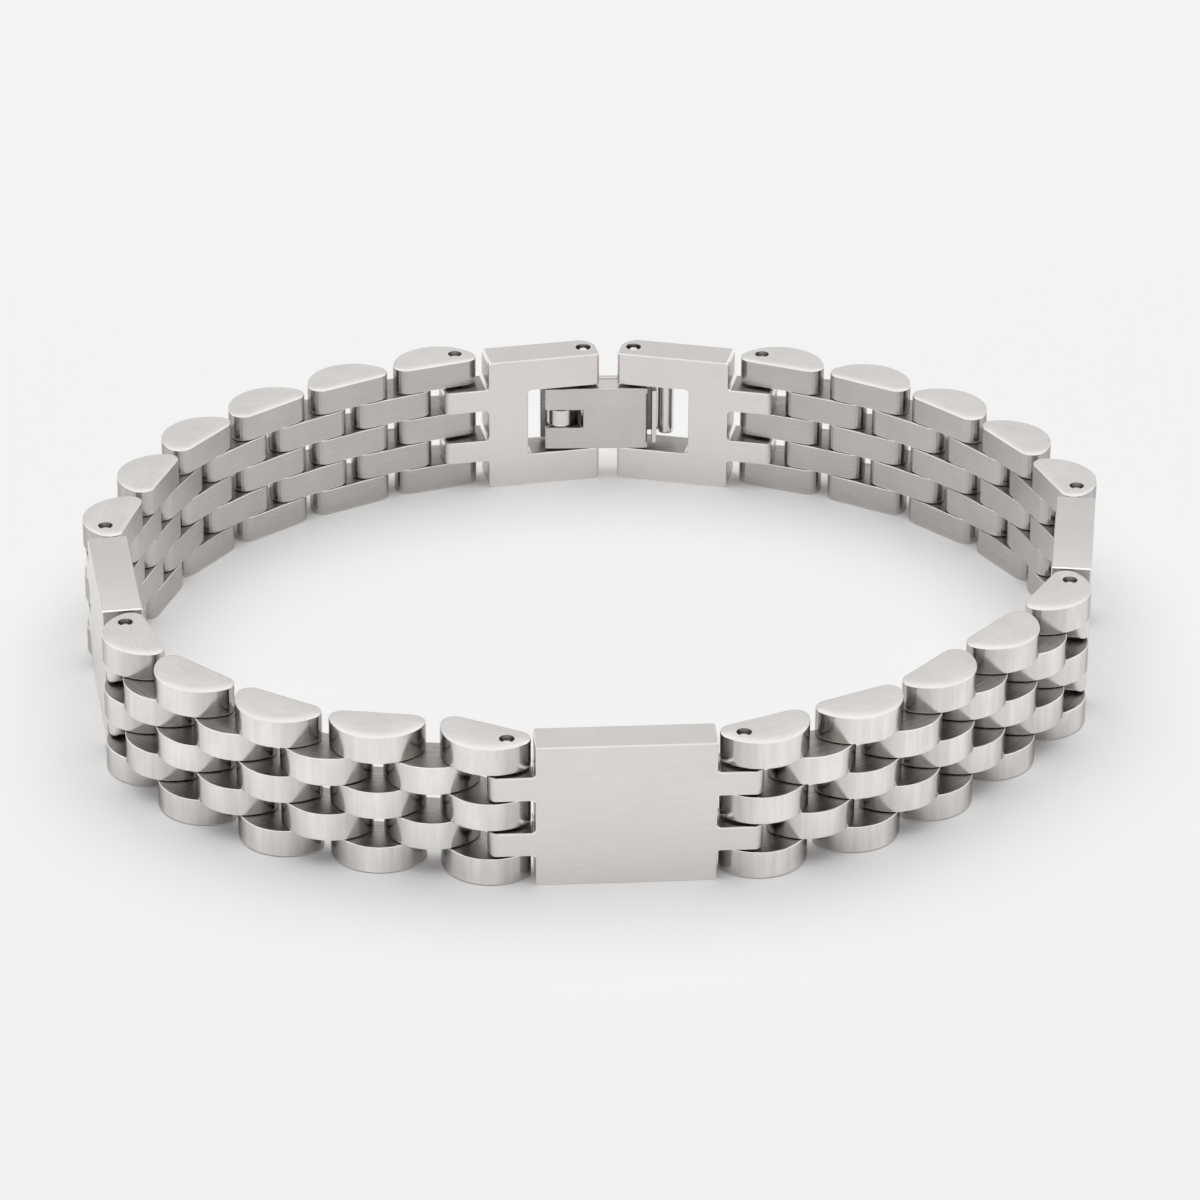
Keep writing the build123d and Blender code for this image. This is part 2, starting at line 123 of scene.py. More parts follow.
@dataclass(frozen=True)
class Steel:
    """A finish of the bracelet's steel, drawn along each piece.

    The pattern follows the grain attribute, which holds a piece's own millimetres:
    x along the band, y outwards and z across the band.
    """

    name: str
    tone: Triple
    roughness: float
    line_pitch: Triple = (0.25, 9.0, 9.0)
    line_tone: float = 0.06
    line_roughness: float = 0.08
    line_depth: float = 0.0
    line_octaves: float = 3.0
    cloud_pitch: Triple = (0.35, 0.35, 0.35)
    cloud_tone: float = 0.04
    cloud_octaves: float = 2.0
    octave_share: float = 0.6
    noise_low: float = 0.3
    noise_high: float = 0.7
    # Painted shade towards a piece's ends: how much darker its tone gets there.
    end_painted_shade: float = 0.0
    edge_tint: float = 1.0

    def material(self) -> bpy.types.Material:
        """Gives the finish as a material, made once.

        Returns:
            The material with its nodes.
        """
        made = bpy.data.materials.get(self.name)
        if made:
            return made
        made = bpy.data.materials.new(self.name)
        made.use_nodes = True
        tree = made.node_tree
        grain = add(tree, "Attribute", {}, attribute_name="grain")["Vector"]
        lines = self.noise(tree, grain, self.line_pitch, self.line_octaves)
        clouds = self.noise(tree, grain, self.cloud_pitch, self.cloud_octaves)
        fine = self.spread(tree, lines, 1, self.line_tone)
        slow = self.spread(tree, clouds, 1, self.cloud_tone)
        share = add(tree, "Math", {0: fine, 1: slow}, operation="MULTIPLY")[0]
        # Painted shade: the tone darkens towards both ends of the piece along end_share, standing
        # in for the darker reflections there.
        if self.end_painted_shade:
            reach = add(tree, "Attribute", {}, attribute_name="end_share")["Fac"]
            ends = {"Value": reach, "To Min": 1.0, "To Max": 1 - self.end_painted_shade}
            kept = add(tree, "MapRange", ends)[0]
            share = add(tree, "Math", {0: share, 1: kept}, operation="MULTIPLY")[0]
        tint = add(tree, "VectorMath", {0: self.tone, "Scale": share}, operation="SCALE")
        inputs = {
            "Metallic": 1.0,
            "Specular Tint": (*[self.edge_tint] * 3, 1),
            "Base Color": tint[0],
            "Roughness": self.spread(tree, lines, self.roughness, self.line_roughness),
        }
        if self.line_depth:
            bump = {"Strength": 1.0, "Distance": self.line_depth * MM, "Height": lines}
            inputs["Normal"] = add(tree, "Bump", bump)[0]
        fill(tree, tree.nodes["Principled BSDF"], inputs)
        return made

    def noise(self, tree: Tree, grain: Socket, pitch: Triple, octaves: float) -> Socket:
        """Adds a noise that is stretched along the piece.

        Args:
            tree: The material's node tree.
            grain: The piece's own millimetres.
            pitch: Repeats per millimetre along x, y and z.
            octaves: Octaves of the noise.

        Returns:
            The noise.
        """
        inputs = {
            "Vector": add(tree, "Mapping", {"Vector": grain, "Scale": pitch})[0],
            "Scale": 1.0,
            "Detail": octaves,
            "Roughness": self.octave_share,
        }
        return add(tree, "TexNoise", inputs)[0]

    def spread(self, tree: Tree, noise: Socket, middle: float, reach: float) -> Socket:
        """Maps the middle of a noise onto a range.

        Args:
            tree: The material's node tree.
            noise: The noise.
            middle: The middle of the range.
            reach: How far it goes on each side.

        Returns:
            The mapped value.
        """
        inputs = {
            "Value": noise,
            "From Min": self.noise_low,
            "From Max": self.noise_high,
            "To Min": middle - reach,
            "To Max": middle + reach,
        }
        return add(tree, "MapRange", inputs)[0]


CROWN = Steel(
    "crown_steel",
    (0.875, 0.84, 0.815),
    0.17,
    line_pitch=(1.6, 1.6, 0.15),
    line_tone=0.1,
    line_roughness=0.04,
    # The crowns' ends are darkened in colour as painted shade.
    end_painted_shade=0.44,
    edge_tint=0.55,
)
# Dark steel for ledges between rows, bore walls and hidden inner faces. Its roughness and brushed
# lines are the steel's own; its dark tone is painted shade for these recesses.
LEDGE = Steel(
    "ledge_steel",
    (0.34, 0.318, 0.3),
    0.38,
    line_pitch=(0.4, 8.0, 8.0),
    line_tone=0.3,
    line_depth=0.004,
    cloud_tone=0.1,
)
LINK_FLAT = Steel(
    "link_flat_steel",
    (0.55, 0.525, 0.505),
    0.34,
    line_pitch=(0.35, 7.0, 7.0),
    line_depth=0.0015,
)
LINK_TOP = Steel(
    "link_top_steel",
    (0.69, 0.667, 0.65),
    0.2,
    line_pitch=(0.5, 7.0, 7.0),
    line_tone=0.03,
    line_roughness=0.03,
)
# Polished bevels on the rims, with their tone raised past steel's own as a painted highlight
# along the edges.
RIM = Steel("rim_steel", (0.97, 0.95, 0.93), 0.16, line_tone=0.02, line_roughness=0.02)
PLATE_FACE = Steel(
    "plate_face_steel",
    (0.785, 0.752, 0.728),
    0.34,
    line_pitch=(0.4, 8.0, 8.0),
    line_tone=0.03,
    line_roughness=0.04,
    line_depth=0.0005,
    cloud_tone=0.015,
)
PLATE_TOP = Steel(
    "plate_top_steel",
    (0.61, 0.587, 0.568),
    0.32,
    line_pitch=(0.6, 9.0, 9.0),
    line_tone=0.03,
    line_roughness=0.03,
    line_depth=0.0003,
    cloud_tone=0.02,
)
SHEET = Steel(
    "sheet_steel",
    (0.61, 0.583, 0.564),
    0.3,
    line_pitch=(0.4, 8.0, 8.0),
    line_tone=0.03,
    line_roughness=0.05,
    line_depth=0.001,
)
ROLL = Steel("roll_steel", (0.74, 0.71, 0.69), 0.17, line_tone=0.03, line_roughness=0.03)
PIN_END = Steel("pin_end_steel", (0.74, 0.71, 0.69), 0.22, line_tone=0.03)

# Ledges get the ledge steel, whose dark tone is painted shade; rims get the rim steel, whose
# near-white tone is partly a painted highlight.
LINK_FINISH = dict(zip(Side, (LINK_FLAT, CROWN, LINK_TOP, RIM, LEDGE, CROWN)))
PLATE_FINISH = dict(zip(Side, (PLATE_FACE, PLATE_FACE, PLATE_TOP, RIM, LEDGE, LINK_FLAT)))
SHEET_FINISH = dict.fromkeys(Side, SHEET)
ROLL_FINISH = dict.fromkeys(Side, ROLL)
# The cover's inner side gets the dark ledge steel: painted shade in the gap between the leaf and
# the lip.
COVER_FINISH = {**SHEET_FINISH, Side.INNER: LEDGE}
PIN_FINISH = dict.fromkeys(Side, PIN_END)


def sharp_edges(mesh: bmesh.types.BMesh) -> list:
    """Lists the edges where two faces meet at a clear angle.

    Args:
        mesh: The mesh.

    Returns:
        The edges.
    """
    return [e for e in mesh.edges if len(e.link_faces) == 2 and e.calc_face_angle() > SHARP]


class Blank:
    """A closed piece of steel, shaped in its own plane in millimetres."""

    def __init__(self) -> None:
        """Starts with an empty mesh."""
        self.mesh = bmesh.new()
        self.tip: bmesh.types.BMVert | None = None
        self.start: bmesh.types.BMVert | None = None
        self.walk: list = []

    def line(self, *points: tuple[float, float]) -> None:
        """Draws the outline straight on through points, or starts it at the first.

        Args:
            points: Their places along the band and outwards.
        """
        for x, y in points:
            if self.tip is None:
                self.start = self.tip = self.mesh.verts.new((x, y, 0))
                continue
            grown = bmesh.ops.extrude_vert_indiv(self.mesh, verts=[self.tip])
            self.tip = grown["verts"][0]
            self.tip.co = Vector((x, y, 0))
            self.walk += grown["edges"]

    def arc(self, x: float, y: float, degrees: float, steps: int) -> None:
        """Draws the outline on along an arc.

        Args:
            x: The arc's centre along the band.
            y: The arc's centre outwards.
            degrees: Sweep, positive anticlockwise.
            steps: Number of short edges.
        """
        before = set(self.mesh.edges)
        spun = bmesh.ops.spin(
            self.mesh,
            geom=[self.tip],
            cent=(x, y, 0),
            axis=(0, 0, 1),
            angle=math.radians(degrees),
            steps=steps,
            use_merge=False,
            use_normal_flip=False,
            use_duplicate=False,
        )
        self.tip = next(g for g in spun["geom_last"] if isinstance(g, bmesh.types.BMVert))
        self.walk += [e for e in self.mesh.edges if e not in before]

    def rounded(self, corners: Iterable[Triple], steps: int) -> None:
        """Draws a whole outline with rounded corners.

        Args:
            corners: Each corner's place and its rounding, going round anticlockwise.
            steps: Short edges in each rounding.
        """
        marks = [(Vector((x, y)), radius) for x, y, radius in corners]
        for place, (corner, radius) in enumerate(marks):
            before = (corner - marks[place - 1][0]).normalized()
            after = (marks[(place + 1) % len(marks)][0] - corner).normalized()
            turn = -before.angle_signed(after)
            start = corner - before * radius * math.tan(abs(turn) / 2)
            self.line(start)
            if radius:
                left = Vector((-before.y, before.x)) * math.copysign(radius, turn)
                self.arc(*(start + left), math.degrees(turn), steps)

    def close(self, base: float, height: float) -> None:
        """Closes the outline and raises it to a solid.

        Args:
            base: Height of the underside.
            height: Height of the solid.
        """
        self.walk.append(self.mesh.edges.new((self.tip, self.start)))
        made = bmesh.ops.contextual_create(self.mesh, geom=self.walk)
        face = made["faces"][0]
        bmesh.ops.translate(self.mesh, verts=face.verts[:], vec=(0, 0, base))
        raised = bmesh.ops.extrude_face_region(self.mesh, geom=[face], use_keep_orig=True)
        top = [g for g in raised["geom"] if isinstance(g, bmesh.types.BMVert)]
        bmesh.ops.translate(self.mesh, verts=top, vec=(0, 0, height))
        bmesh.ops.recalc_face_normals(self.mesh, faces=self.mesh.faces[:])

    def block(self, low: Triple, high: Triple) -> None:
        """Adds a block.

        Args:
            low: Its lowest corner.
            high: Its highest corner.
        """
        made = bmesh.ops.create_cube(self.mesh, size=1.0)
        low_corner, high_corner = Vector(low), Vector(high)
        bmesh.ops.scale(self.mesh, verts=made["verts"], vec=high_corner - low_corner)
        bmesh.ops.translate(self.mesh, verts=made["verts"], vec=(low_corner + high_corner) / 2)

    def rod(
        self, x: float, y: float, radius: float, base: float, top: float, sides: int
    ) -> None:
        """Adds an upright rod.

        Args:
            x: Its axis along the band.
            y: Its axis outwards.
            radius: Its radius.
            base: Height of its lower end.
            top: Height of its upper end.
            sides: Facets round it.
        """
        made = bmesh.ops.create_cone(
            self.mesh,
            cap_ends=True,
            segments=sides,
            radius1=radius,
            radius2=radius,
            depth=top - base,
        )
        bmesh.ops.translate(self.mesh, verts=made["verts"], vec=(x, y, (base + top) / 2))

    def soften(
        self, width: float, steps: int = RIM_STEPS, edges: Iterable | None = None
    ) -> None:
        """Rounds edges.

        Args:
            width: Reach of the rounding on each side.
            steps: Facets across it.
            edges: The edges, or all the sharp ones.
        """
        bmesh.ops.bevel(
            self.mesh,
            geom=sharp_edges(self.mesh) if edges is None else list(edges),
            offset=width,
            offset_type="OFFSET",
            affect="EDGES",
            segments=steps,
            profile=0.5,
            material=-1,
            clamp_overlap=True,
        )

    def turn(self, matrix: Matrix) -> None:
        """Turns or mirrors the whole blank.

        Args:
            matrix: How it is turned.
        """
        bmesh.ops.transform(self.mesh, matrix=matrix, verts=self.mesh.verts[:])

    def stand(self, outer: float) -> None:
        """Stands up a shape that was drawn face on, so that its height runs inwards.

        Args:
            outer: Place outwards of its underside.
        """
        self.turn(Matrix.Rotation(math.radians(90), 4, "X"))
        bmesh.ops.translate(self.mesh, verts=self.mesh.verts[:], vec=(0, outer, 0))

    def mirror(self) -> None:
        """Mirrors the blank along the band."""
        self.turn(Matrix.Diagonal((-1, 1, 1, 1)))
        bmesh.ops.reverse_faces(self.mesh, faces=self.mesh.faces[:])

    def add(self, other: "Blank", *heights: float) -> None:
        """Adds copies of another blank at heights, and frees it.

        Args:
            other: The blank to add.
            heights: How far each copy is raised.
        """
        for height in heights:
            copy = bpy.data.meshes.new("copy")
            other.mesh.to_mesh(copy)
            copy.transform(Matrix.Translation((0, 0, height)))
            self.mesh.from_mesh(copy)
            bpy.data.meshes.remove(copy)
        other.mesh.free()

    def object(self, name: str) -> bpy.types.Object:
        """Makes an object of the blank, and frees it.

        Args:
            name: The object's name.

        Returns:
            The object, in millimetres in the piece's own plane.
        """
        data = bpy.data.meshes.new(name)
        self.mesh.to_mesh(data)
        self.mesh.free()
        made = bpy.data.objects.new(name, data)
        bpy.context.scene.collection.objects.link(made)
        return made


def carved(piece: bpy.types.Object, shape: Blank, way: str = "DIFFERENCE") -> None:
    """Cuts one shape out of a piece, or keeps what both share.

    Args:
        piece: The piece, which keeps its name.
        shape: The shape to cut with.
        way: DIFFERENCE or INTERSECT.
    """
    tool = shape.object("cutter")
    cut = piece.modifiers.new("cut", "BOOLEAN")
    cut.object = tool
    cut.operation = way
    cut.solver = "EXACT"
    cut.use_self = way == "DIFFERENCE"
    bpy.context.view_layer.update()
    seen = piece.evaluated_get(bpy.context.evaluated_depsgraph_get())
    data = bpy.data.meshes.new_from_object(seen)
    piece.modifiers.clear()
    old, piece.data = piece.data, data
    bpy.data.meshes.remove(old)
    bpy.data.objects.remove(tool)


@dataclass
class Band:
    """What all pieces of the band share, in millimetres."""

    rows: int = 5
    tab_rows: tuple[int, int] = (1, 3)
    piece_height: float = 1.96
    row_gap: float = 0.05
    pin_radius: float = 0.5
    pin_dome: float = 0.26
    bore_sides: int = 28
    tab_gap: float = 0.13
    root_fillet: float = 0.22
    nose_corner: float = 0.3

    @property
    def width(self) -> float:
        """Width of the whole band."""
        return self.rows * self.piece_height + (self.rows - 1) * self.row_gap

    def base(self, row: int) -> float:
        """Height of a row's underside."""
        return row * (self.piece_height + self.row_gap)

    def tabbed_side(self, root: float, nose: float) -> list[Triple]:
        """Gives the face outline of a plate's two tabs, from below upwards.

        Args:
            root: Place of the plate's end along the band.
            nose: Place of the tabs' noses along the band.

        Returns:
            The corners along and across the band, each with its rounding.
        """
        corners = []
        for row in self.tab_rows:
            low = self.base(row) + self.tab_gap
            high = self.base(row + 1) - self.row_gap - self.tab_gap
            corners += [
                (root, low, self.root_fillet),
                (nose, low, self.nose_corner),
                (nose, high, self.nose_corner),
                (root, high, self.root_fillet),
            ]
        return corners

    def bar(
        self, name: str, x: float, radius: float, sink: float, sides: int
    ) -> bpy.types.Object:
        """Makes an upright pin or bar with rounded ends.

        Args:
            name: Its name.
            x: Place of its axis along the band.
            radius: Its radius.
            sink: Depth of its ends below the band's edges.
            sides: Facets round it.

        Returns:
            The bar in the plane of the piece that holds it.
        """
        rod = Blank()
        rod.rod(x, 0, radius, sink, self.width - sink, sides)
        rod.soften(self.pin_dome, ROUND_STEPS)
        return rod.object(name + "_steel")


@dataclass
class Dresser:
    """Puts a finished shape in its place, with its finish, body and nodes.

    The shares are parts of a face's normal, by which its side is told.
    """

    band: Band
    smooth_below: float = 13.0
    bore_reach: float = 0.57
    free_end: float = 2.0
    flat_share: float = 0.999
    level_share: float = 0.9
    inner_share: float = 0.6
    upright_share: float = 0.5
    rim_share: float = 0.15
    drift: Triple = (37.0, 11.0, 23.0)
    count: int = 0

    def side(self, normal: Vector, middle: Vector, bore: float | None) -> Side:
        """Tells which way a face looks.

        Args:
            normal: The face's normal in the piece's own plane.
            middle: The middle of the face.
            bore: Place along the band of a bore, whose walls get the ledges' painted shade.

        Returns:
            The side, where a ledge is a level face between the band's two ends.
        """
        near = bore is not None and abs(middle.x - bore) < self.free_end
        # Bore walls count as ledges, so that most finishes give them the ledges' painted shade.
        if near and abs(normal.z) < self.upright_share:
            if math.hypot(middle.x - bore, middle.y) < self.bore_reach:
                return Side.LEDGE
        if abs(normal.x) > self.flat_share and not near:
            return Side.END
        # Level faces between the band's edges count as ledges; the link and plate finishes give
        # ledges a dark tone that is painted shade.
        if abs(normal.z) > self.level_share:
            inside = self.band.row_gap < middle.z < self.band.width - self.band.row_gap
            return Side.LEDGE if inside and abs(normal.z) > self.flat_share else Side.LEVEL
        if abs(normal.z) > self.rim_share:
            return Side.RIM
        return Side.INNER if normal.y < -self.inner_share else Side.OUTER

    def dress(
        self,
        piece: bpy.types.Object,
        plane: Matrix,
        finish: dict[Side, Steel],
        body: str,
        slot: str,
        nodes: Iterable[str],
        bore: float | None = None,
    ) -> None:
        """Finishes a piece and hands it to its body.

        Args:
            piece: The object, in millimetres in its own plane.
            plane: The plane's place in the bracelet.
            finish: The steel for each side.
            body: The body that it rides on.
            slot: The record's material slot; not used.
            nodes: The CAD nodes that it stands for.
            bore: Place along the band of its bore, if it has one.
        """
        data = piece.data
        self.count += 1
        drift = Vector(self.drift) * self.count
        grain = data.attributes.new("grain", "FLOAT_VECTOR", "POINT")
        for place, vertex in zip(grain.data, data.vertices):
            place.vector = vertex.co + drift
        # end_share grows towards the piece's ends and sets how strongly the crowns' painted shade
        # darkens them.
        reach = max(abs(vertex.co.x) for vertex in data.vertices)
        ends = data.attributes.new("end_share", "FLOAT", "POINT")
        for share, vertex in zip(ends.data, data.vertices):
            share.value = (vertex.co.x / reach) ** 2
        data.materials.clear()
        for side in Side:
            data.materials.append(finish[side].material())
        for face in data.polygons:
            face.material_index = self.side(face.normal, face.center, bore).value
            face.use_smooth = True
        data.transform(plane @ Matrix.Scale(MM, 4))
        data.set_sharp_from_angle(angle=math.radians(self.smooth_below))
        data.update()
        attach(piece, body)
        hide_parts(*nodes)
        log.info("%s rides on %s, %d faces", piece.name, body, len(data.polygons))


class Loop:
    """The closed loop of hinges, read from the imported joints."""

    def __init__(self) -> None:
        """Puts the bodies in order and finds the hinge before each."""
        self.order = [
            *self.run("front_left", 5),
            "left_plate",
            *self.run("back_left", 6),
            "left_end_plate",
            "clasp_leaf",
            "right_end_plate",
            *self.run("back_right", 5),
            "right_plate",
            *self.run("front_right", 5),
            "front_plate",
        ]
        places = {
            frozenset((j["parent"], j["child"])): Vector((*j["pos_m"][:2], 0))
            for j in frame["joints"]
        }
        bar_low, bar_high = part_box("clasp_catch_bar")
        catch = (bar_low + bar_high) / 2
        places[frozenset(("left_end_plate", "clasp_leaf"))] = Vector((catch.x, catch.y, 0))
        pairs = zip([self.order[-1], *self.order], self.order)
        self.pins = [places[frozenset(pair)] for pair in pairs]

    def run(self, name: str, triples: int) -> list[str]:
        """Names the links of a run in order.

        Args:
            name: The run's name.
            triples: Number of three-piece links.

        Returns:
            The link bodies' names.
        """
        kinds = ("triple", "double") * triples
        return [f"{name}_{kind}_link_{n // 2 + 1}" for n, kind in enumerate(kinds[:-1])]

    def ends(self, body: str) -> tuple[Vector, Vector]:
        """Gives the hinge before a body and the one after it.

        Args:
            body: The body's name.

        Returns:
            The two hinges' places.
        """
        place = self.order.index(body)
        return self.pins[place], self.pins[(place + 1) % len(self.pins)]

    def plane(self, origin: Vector, along: Vector, turn: float = 0.0) -> Matrix:
        """Gives a level plane with x along the band and y outwards.

        Args:
            origin: The plane's origin.
            along: A direction along the band.
            turn: Degrees by which the plane is turned about its origin.

        Returns:
            The plane's place.
        """
        heading = math.atan2(along.y, along.x) + math.radians(turn)
        return Matrix.Translation(origin) @ Matrix.Rotation(heading, 4, "Z")

    def middle_plane(self, body: str) -> Matrix:
        """Gives the plane midway between a body's hinges."""
        first, second = self.ends(body)
        return self.plane((first + second) / 2, second - first)


@dataclass
class Links:
    """The runs of half-round links with their pins."""

    band: Band
    loop: Loop
    dresser: Dresser
    arc_radius: float = 3.3
    arc_rise: float = 0.15
    corner_radius: float = 0.95
    pin_inset: float = 1.4
    gap: float = 0.68
    arc_sink: float = 0.034
    rim: float = 0.06
    crown_rings: tuple[tuple[float, float], ...] = (
        (0.05, 0.014),
        (0.12, 0.013),
        (0.22, 0.016),
        (0.3, 0.012),
    )
    arc_steps: int = 22
    corner_steps: int = 8
    level_share: float = 0.99
    hidden_pin_sides: int = 12
    pin_end_radius: float = 0.43
    pin_sink: float = 0.2
    pin_sides: int = 20

    @property
    def corner_offset(self) -> float:
        """Place of the corners' centres along the piece."""
        rise = self.corner_radius - self.arc_rise
        return math.sqrt((self.arc_radius - self.corner_radius) ** 2 - rise**2)

    @property
    def spacing(self) -> float:
        """Distance between a link's pins."""
        return self.corner_offset + self.corner_radius + self.gap / 2

    def half_round(self, crowned: int) -> Blank:
        """Makes one half-round piece with softened rims.

        Args:
            crowned: 1 where its upper end is slightly domed, -1 its lower end, or zero.

        Returns:
            The piece.
        """
        rise = self.corner_radius - self.arc_rise
        lean = math.degrees(math.atan2(rise, self.corner_offset))
        corner_y = self.corner_radius - self.pin_inset
        corner_x = self.corner_offset - self.arc_sink
        arc_y = corner_y - corner_x * math.tan(math.radians(lean))
        dome = sum(drop for _, drop in self.crown_rings) if crowned else 0
        piece = Blank()
        piece.line((corner_x, -self.pin_inset))
        piece.arc(corner_x, corner_y, 90 + lean, self.corner_steps)
        piece.arc(0, arc_y, 180 - 2 * lean, self.arc_steps)
        piece.arc(-corner_x, corner_y, 90 + lean, self.corner_steps)
        piece.close(dome if crowned < 0 else 0, self.band.piece_height - dome)
        piece.soften(self.rim)
        if crowned:
            self.crown(piece, crowned)
        return piece

    def crown(self, piece: Blank, end: int) -> None:
        """Domes an end of a piece with rings that rise towards its middle.

        Args:
            piece: The piece.
            end: 1 for the upper end and -1 for the lower.
        """
        facing = [f for f in piece.mesh.faces if f.normal.z * end > self.level_share]
        face = max(facing, key=lambda f: f.calc_area())
        for reach, rise in self.crown_rings:
            bmesh.ops.inset_region(
                piece.mesh,
                faces=[face],
                thickness=reach,
                depth=rise,
                use_even_offset=True,
                use_boundary=True,
            )

    def link(self, name: str, rows: range, bored_side: int) -> bpy.types.Object:
        """Makes one link of several rows.

        Args:
            name: The link's name.
            rows: The rows that it fills.
            bored_side: Side with the bore of a plate's pin, or zero.

        Returns:
            The link in its own plane.
        """
        whole = Blank()
        for row in rows:
            crowned = 1 if row == self.band.rows - 1 else -1 if row == 0 else 0
            whole.add(self.half_round(crowned), self.band.base(row))
        radius = self.band.pin_radius
        if 0 in rows:
            low = self.band.piece_height / 2
            high = self.band.width - low
            for side in (-1, 1):
                if side != bored_side:
                    pin_x = side * self.spacing / 2
                    whole.rod(pin_x, 0, radius, low, high, self.hidden_pin_sides)
        piece = whole.object(name + "_steel")
        if bored_side:
            bore_x = bored_side * self.spacing / 2
            top = self.band.width + BEYOND
            drill = Blank()
            drill.rod(bore_x, 0, radius, -BEYOND, top, self.band.bore_sides)
            carved(piece, drill)
        return piece

    def build(self) -> None:
        """Builds all four runs."""
        for run in ("front_left", "back_left", "back_right", "front_right"):
            names = [n for n in self.loop.order if n.startswith(run)]
            bored_sides = {names[0]: -1, names[-1]: 1}
            for name in names:
                side = bored_sides.get(name, 0)
                bore = side * self.spacing / 2 if side else None
                rows = range(0 if "triple" in name else 1, self.band.rows, 2)
                plane = self.loop.middle_plane(name)
                piece = self.link(name, rows, side)
                self.dresser.dress(
                    piece, plane, LINK_FINISH, name, "polished_steel", [name], bore
                )
                if side:
                    pin_name = run + ("_first_pin" if side < 0 else "_last_pin")
                    pin = self.band.bar(
                        pin_name, bore, self.pin_end_radius, self.pin_sink, self.pin_sides
                    )
                    self.dresser.dress(pin, plane, PIN_FINISH, name, "pin_steel", [pin_name])


@dataclass
class FlatPlates:
    """The front plate and the two shorter side plates."""

    band: Band
    loop: Loop
    dresser: Dresser
    lengths: tuple[tuple[str, float], ...] = (
        ("front_plate", 11.61),
        ("left_plate", 10.87),
        ("right_plate", 10.87),
    )
    inner_y: float = -1.3
    outer_y: float = 1.38
    edge: float = 0.08
    corner: float = 0.1
    tab_reach: float = 1.15
    nose_stretch: float = 0.12
    tab_corner: float = 0.8
    plan_steps: int = 8

    def plate(self, name: str, length: float, span: float) -> bpy.types.Object:
        """Makes one flat plate, its tabs level with its outer face.

        Args:
            name: The plate's name.
            length: The plate's length.
            span: Distance between its hinges.

        Returns:
            The plate in its own plane.
        """
        half = length / 2
        nose = span / 2 + self.tab_reach + self.nose_stretch
        tabs = self.band.tabbed_side(half, nose)
        top = self.band.width
        face = Blank()
        face.rounded(
            [
                (-half, 0, self.corner),
                (half, 0, self.corner),
                *tabs,
                (half, top, self.corner),
                (-half, top, self.corner),
                *[(-x, z, radius) for x, z, radius in reversed(tabs)],
            ],
            ROUND_STEPS,
        )
        face.close(0, self.outer_y - self.inner_y)
        face.soften(self.edge)
        face.stand(self.outer_y)
        piece = face.object(name + "_steel")
        carved(piece, self.side_shape(half, nose), "INTERSECT")
        return piece

    def side_shape(self, half: float, nose: float) -> Blank:
        """Makes the plate's plan, round about the pins and a little proud elsewhere.

        Args:
            half: Half of the plate's length.
            nose: Reach of its tabs from the middle.

        Returns:
            The plan, raised past the plate's height.
        """
        spare = self.edge / 2
        level = self.outer_y
        right = [
            (half, self.inner_y - spare, 0),
            (half, -self.tab_reach, 0),
            (nose, -self.tab_reach, self.tab_reach),
            (nose, level, self.tab_corner),
            (half, level + spare, 0),
        ]
        left = [(-x, y, radius) for x, y, radius in reversed(right)]
        plan = Blank()
        plan.rounded([*right, *left], self.plan_steps)
        plan.close(-BEYOND, self.band.width + 2 * BEYOND)
        return plan

    def build(self) -> None:
        """Builds the three plates."""
        for name, length in self.lengths:
            first, second = self.loop.ends(name)
            piece = self.plate(name, length, (second - first).length / MM)
            plane = self.loop.middle_plane(name)
            self.dresser.dress(piece, plane, PLATE_FINISH, name, "satin_steel", [name])


